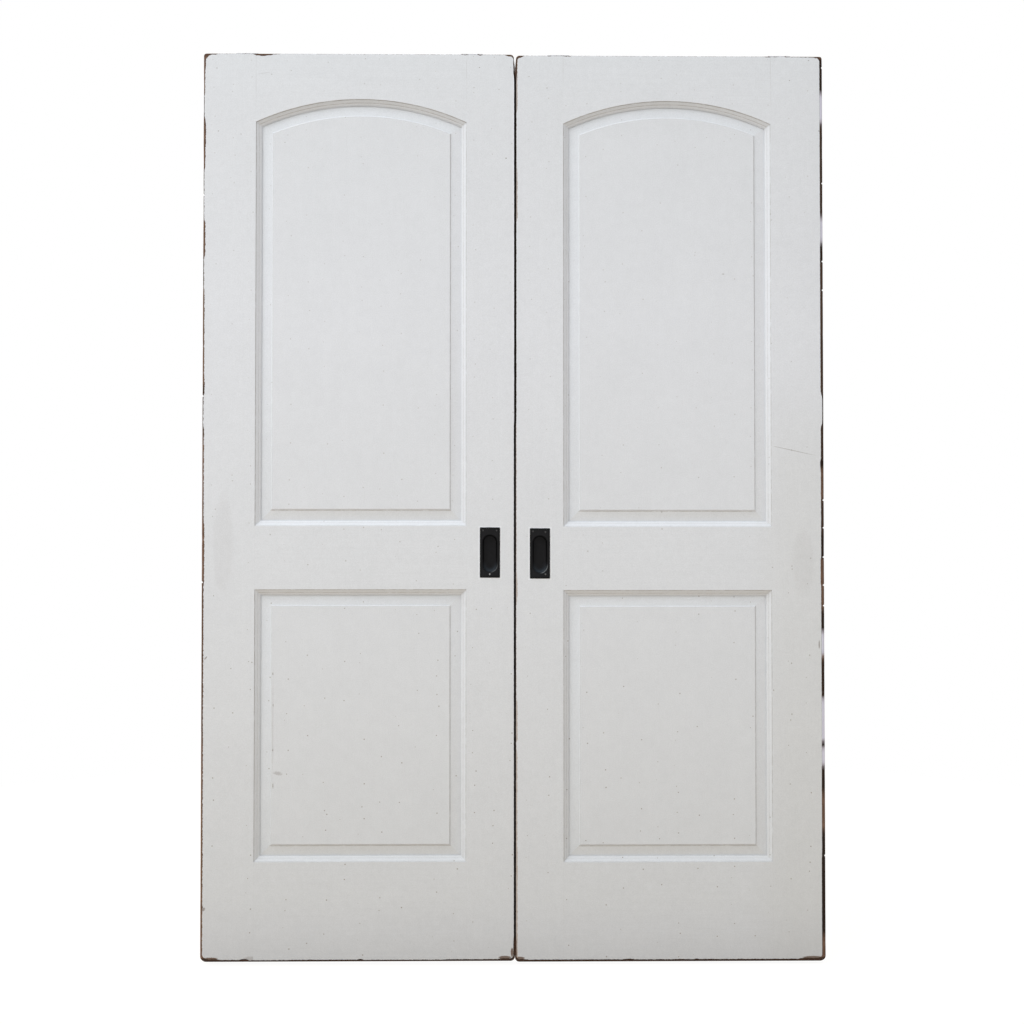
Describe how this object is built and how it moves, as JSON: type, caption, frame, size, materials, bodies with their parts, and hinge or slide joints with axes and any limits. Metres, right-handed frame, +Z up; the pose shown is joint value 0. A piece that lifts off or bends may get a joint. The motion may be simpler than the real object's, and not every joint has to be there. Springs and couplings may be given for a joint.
{
  "type": "sliding closet door",
  "caption": "Sliding closet door in framed, white-painted wood: leaves that part in the middle, each with an arched raised panel over a plain one and a dark recessed pull.",
  "frame": {"origin": "floor level under the middle of the closed pair's width and depth, pulls included", "axes": "+X to the right across the doorway, +Y into the closet (the pulls face -Y), +Z up"},
  "size_m": [1.3954, 0.0378, 2.0365],
  "materials": {
    "painted_wood": "aged white paint, worn to brown wood on the edges",
    "blackened_pull": "dull dark patina",
    "pin_steel": "worn bright heads",
    "painted_plate": "painted over with the leaf",
    "screw_steel": "dull"
  },
  "bodies": {
    "left_leaf": {"left_outer_stile": "painted_wood", "left_meeting_stile": "painted_wood", "left_top_rail": "painted_wood", "left_lock_rail": "painted_wood", "left_bottom_rail": "painted_wood", "left_upper_panel": "painted_wood", "left_lower_panel": "painted_wood", "left_inner_hanger_plate": "painted_plate", "left_outer_hanger_plate": "painted_plate", "left_hanger_screws": "screw_steel", "left_pull": "blackened_pull", "left_pull_pins": "pin_steel"},
    "right_leaf": {"right_outer_stile": "painted_wood", "right_meeting_stile": "painted_wood", "right_top_rail": "painted_wood", "right_lock_rail": "painted_wood", "right_bottom_rail": "painted_wood", "right_upper_panel": "painted_wood", "right_lower_panel": "painted_wood", "right_inner_hanger_plate": "painted_plate", "right_outer_hanger_plate": "painted_plate", "right_hanger_screws": "screw_steel", "right_pull": "blackened_pull", "right_pull_pins": "pin_steel"}
  },
  "joints": [
    {"name": "right_leaf_slide", "type": "slide", "parent": "left_leaf", "child": "right_leaf", "axis": [1, 0, 0], "range_m": [0, 0.6]}
  ]
}
